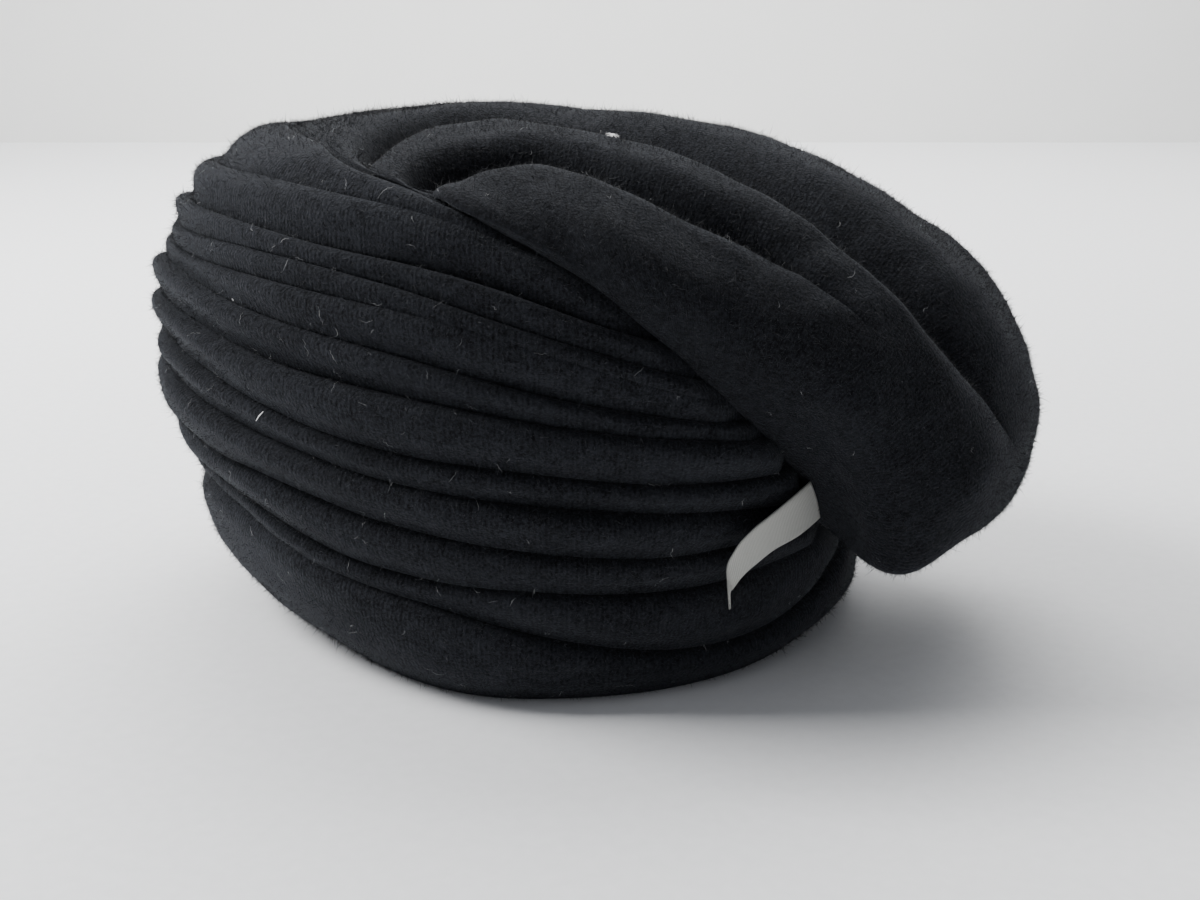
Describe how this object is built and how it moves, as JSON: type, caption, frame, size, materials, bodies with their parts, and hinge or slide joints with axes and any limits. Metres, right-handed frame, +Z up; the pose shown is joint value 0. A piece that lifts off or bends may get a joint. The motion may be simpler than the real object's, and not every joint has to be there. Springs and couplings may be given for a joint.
{
  "type": "turban headwrap",
  "caption": "Soft draped turban headwrap with a pleated wound head band, a crown cloth in lapped rolls, a hanging back pouch and a blank tape label.",
  "frame": {"origin": "middle of the overall footprint, on the surface that the rim rests on", "axes": "+Z up out of the crown, +X from the forehead towards the hanging back pouch, +Y to the wearer's right side"},
  "size_m": [0.2556, 0.1948, 0.1407],
  "materials": {
    "wool_jersey": "matte felted wool knit",
    "cotton_tape": "matte woven tape"
  },
  "bodies": {
    "root": {"pleated_band": "wool_jersey", "crown_drape": "wool_jersey", "label_tape": "cotton_tape"}
  },
  "joints": []
}
